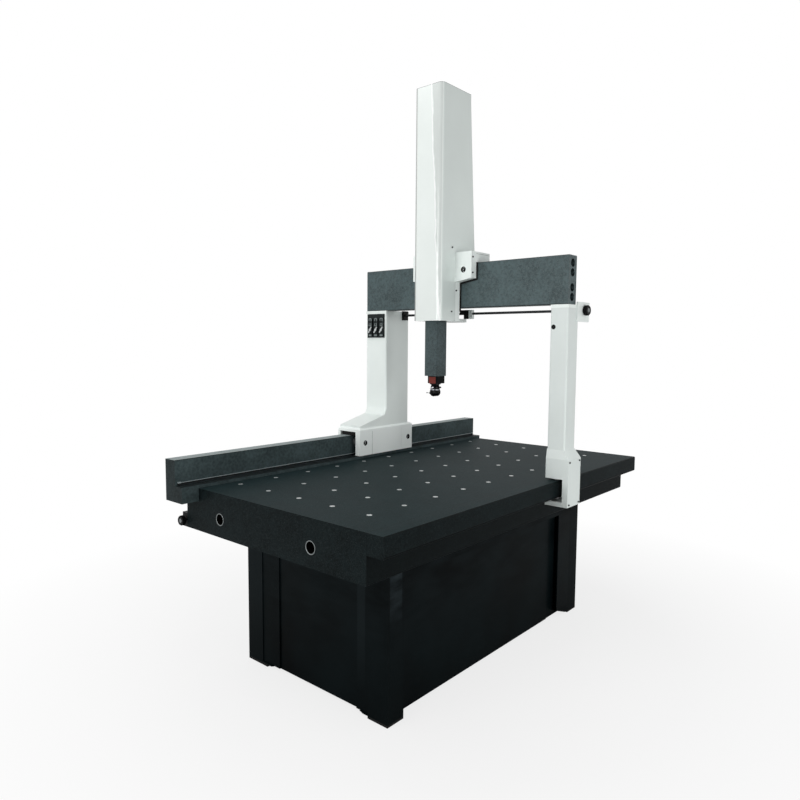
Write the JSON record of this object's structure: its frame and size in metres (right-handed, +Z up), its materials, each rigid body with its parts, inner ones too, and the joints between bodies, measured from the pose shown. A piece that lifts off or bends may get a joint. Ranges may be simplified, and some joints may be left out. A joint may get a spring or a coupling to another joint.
{
  "type": "coordinate measuring machine",
  "caption": "Bridge coordinate measuring machine: granite table on a black steel base, granite beam on white legs, tall white column with granite ram and a small articulating probe.",
  "frame": {"origin": "on the floor under the centre of the machine's bounding box, with the bridge at rest", "axes": "+Z up, +X to the operator's right across the table, +Y to the rear along the guide rail"},
  "size_m": [1.308, 2.26, 2.76],
  "materials": {
    "granite": "ground",
    "rubber": "matt",
    "black_steel": "semi gloss",
    "bare_steel": "machined",
    "scale_tape": "satin",
    "white_casting": "satin",
    "white_cover": "gloss",
    "aluminium": "machined",
    "black_plastic": "satin",
    "red_face": "satin",
    "stylus_steel": "polished"
  },
  "bodies": {
    "base": {"floor_pads": "rubber", "base_feet": "black_steel", "base_posts": "black_steel", "lower_frame": "black_steel", "upper_frame": "black_steel", "door_frames": "black_steel", "base_panels": "black_steel", "side_strips": "black_steel", "levelling_jacks": "bare_steel", "granite_table": "granite", "table_inserts": "bare_steel", "lifting_bushes": "bare_steel", "guide_rail": "granite", "rail_bolts": "bare_steel", "long_scale": "scale_tape", "long_rod_bearings": "black_steel"},
    "long_feed": {"long_feed_rod": "bare_steel", "long_feed_knob": "black_plastic"},
    "bridge": {"saddle_ceiling": "white_casting", "saddle_blocks": "white_casting", "saddle_side_cover": "white_cover", "feed_arm": "white_casting", "bridge_pads": "aluminium", "left_leg": "white_casting", "leg_top_plates": "white_casting", "right_leg": "white_casting", "right_foot": "white_casting", "beam": "granite", "cross_scale": "scale_tape", "valve_panel": "black_steel", "cross_rod_bearing": "black_steel", "cross_rod_bracket": "white_casting", "bridge_screws": "bare_steel"},
    "valve_1": {"valve_lever_1": "bare_steel"},
    "valve_2": {"valve_lever_2": "bare_steel"},
    "valve_3": {"valve_lever_3": "bare_steel"},
    "cross_feed": {"cross_feed_rod": "bare_steel", "cross_feed_knob": "black_plastic"},
    "carriage": {"carriage_front_plate": "white_casting", "carriage_top_plate": "white_casting", "carriage_rear_plate": "white_casting", "carriage_lower_plate": "white_casting", "carriage_pads": "aluminium", "rod_clamp": "black_steel", "column_front_cover": "white_cover", "column_rear_cover": "white_cover", "column_top_cap": "white_cover", "column_bottom_plate": "white_cover", "ram_bearings": "aluminium", "counterbalance": "bare_steel", "read_heads": "black_plastic", "carriage_screws": "bare_steel"},
    "ram": {"ram": "granite", "ram_seal_cap": "aluminium", "ram_scale": "scale_tape", "probe_mount": "black_plastic", "probe_mount_face": "red_face"},
    "probe_head": {"probe_head": "aluminium"},
    "probe": {"probe_body": "black_plastic", "stylus": "stylus_steel"}
  },
  "joints": [
    {"name": "bridge_slide", "type": "slide", "parent": "base", "child": "bridge", "axis": [0, 1, 0], "range_m": [-0.86, 0.64]},
    {"name": "carriage_slide", "type": "slide", "parent": "bridge", "child": "carriage", "axis": [1, 0, 0], "range_m": [-0.32, 0.48]},
    {"name": "ram_slide", "type": "slide", "parent": "carriage", "child": "ram", "axis": [0, 0, 1], "range_m": [-0.32, 0.28]},
    {"name": "probe_swivel", "type": "hinge", "parent": "ram", "child": "probe_head", "pos_m": [-0.07, 0.08, 1.293], "axis": [0, 0, 1], "range_deg": [-180, 180]},
    {"name": "probe_tilt", "type": "hinge", "parent": "probe_head", "child": "probe", "pos_m": [-0.07, 0.08, 1.2467], "axis": [0, 1, 0], "range_deg": [-105, 15]},
    {"name": "long_feed_turn", "type": "hinge", "parent": "base", "child": "long_feed", "pos_m": [-0.616, -1.05, 0.697], "axis": [0, 1, 0], "continuous": true},
    {"name": "cross_feed_turn", "type": "hinge", "parent": "bridge", "child": "cross_feed", "pos_m": [0.633, 0.316, 1.658], "axis": [1, 0, 0], "continuous": true},
    {"name": "valve_1_turn", "type": "hinge", "parent": "bridge", "child": "valve_1", "pos_m": [-0.602, 0.151, 1.573], "axis": [0, 1, 0], "range_deg": [-90, 0]},
    {"name": "valve_2_turn", "type": "hinge", "parent": "bridge", "child": "valve_2", "pos_m": [-0.559, 0.151, 1.573], "axis": [0, 1, 0], "range_deg": [-90, 0]},
    {"name": "valve_3_turn", "type": "hinge", "parent": "bridge", "child": "valve_3", "pos_m": [-0.516, 0.151, 1.573], "axis": [0, 1, 0], "range_deg": [-90, 0]}
  ]
}
